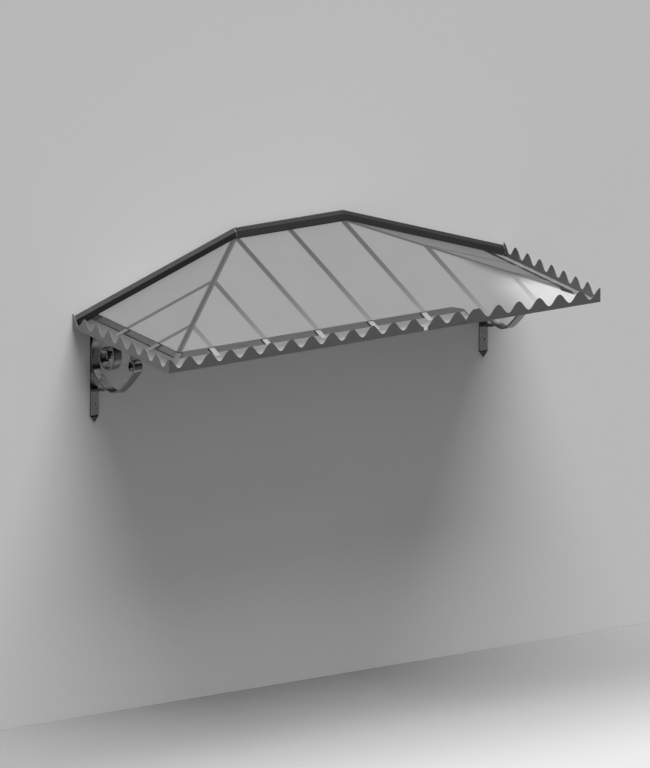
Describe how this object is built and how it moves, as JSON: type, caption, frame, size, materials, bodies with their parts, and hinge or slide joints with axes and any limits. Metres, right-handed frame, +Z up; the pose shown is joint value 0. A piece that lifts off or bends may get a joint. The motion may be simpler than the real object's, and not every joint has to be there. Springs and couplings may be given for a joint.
{
  "type": "wall awning",
  "caption": "Hipped entrance awning: milky sheets on a flat-bar frame, wavy eave strip, folded wall flashing and two scroll brackets.",
  "frame": {"origin": "back face of the ridge ledger, at its middle, on the wall's plane", "axes": "+X along the wall to the right as seen from outside, -Y out from the wall, +Z up"},
  "size_m": [2.115, 0.8023, 0.7486],
  "materials": {
    "front_eave_rail": "grey, satin",
    "front_pane": "milky, satin",
    "front_rafter_1": "grey, satin",
    "front_rafter_2": "grey, satin",
    "front_rafter_3": "grey, satin",
    "front_rafter_4": "grey, satin",
    "front_rafter_5": "grey, satin",
    "front_rafter_6": "grey, satin",
    "front_rafter_7": "grey, satin",
    "front_strip_left": "grey, satin",
    "front_strip_right": "grey, satin",
    "left_arm": "dark grey, satin",
    "left_eave_rail": "grey, satin",
    "left_flashing": "dark paint, satin",
    "left_hanger": "dark grey, satin",
    "left_hip": "grey, satin",
    "left_ledger": "grey, satin",
    "left_pane": "milky, satin",
    "left_scroll": "dark grey, satin",
    "left_side_rafter_1": "grey, satin",
    "left_side_rafter_2": "grey, satin",
    "left_strip": "grey, satin",
    "left_tie": "dark grey, satin",
    "left_wall_bar": "dark grey, satin",
    "ridge_flashing": "dark paint, satin",
    "ridge_ledger": "grey, satin",
    "right_arm": "dark grey, satin",
    "right_eave_rail": "grey, satin",
    "right_flashing": "dark paint, satin",
    "right_hanger": "dark grey, satin",
    "right_hip": "grey, satin",
    "right_ledger": "grey, satin",
    "right_pane": "milky, satin",
    "right_scroll": "dark grey, satin",
    "right_side_rafter_1": "grey, satin",
    "right_side_rafter_2": "grey, satin",
    "right_strip": "grey, satin",
    "right_tie": "dark grey, satin",
    "right_wall_bar": "dark grey, satin",
    "strip_splice": "grey, satin"
  },
  "bodies": {
    "root": {"front_eave_rail": "front_eave_rail", "front_pane": "front_pane", "front_rafter_1": "front_rafter_1", "front_rafter_2": "front_rafter_2", "front_rafter_3": "front_rafter_3", "front_rafter_4": "front_rafter_4", "front_rafter_5": "front_rafter_5", "front_rafter_6": "front_rafter_6", "front_rafter_7": "front_rafter_7", "front_strip_left": "front_strip_left", "front_strip_right": "front_strip_right", "left_arm": "left_arm", "left_eave_rail": "left_eave_rail", "left_flashing": "left_flashing", "left_hanger": "left_hanger", "left_hip": "left_hip", "left_ledger": "left_ledger", "left_pane": "left_pane", "left_scroll": "left_scroll", "left_side_rafter_1": "left_side_rafter_1", "left_side_rafter_2": "left_side_rafter_2", "left_strip": "left_strip", "left_tie": "left_tie", "left_wall_bar": "left_wall_bar", "ridge_flashing": "ridge_flashing", "ridge_ledger": "ridge_ledger", "right_arm": "right_arm", "right_eave_rail": "right_eave_rail", "right_flashing": "right_flashing", "right_hanger": "right_hanger", "right_hip": "right_hip", "right_ledger": "right_ledger", "right_pane": "right_pane", "right_scroll": "right_scroll", "right_side_rafter_1": "right_side_rafter_1", "right_side_rafter_2": "right_side_rafter_2", "right_strip": "right_strip", "right_tie": "right_tie", "right_wall_bar": "right_wall_bar", "strip_splice": "strip_splice"}
  },
  "joints": []
}
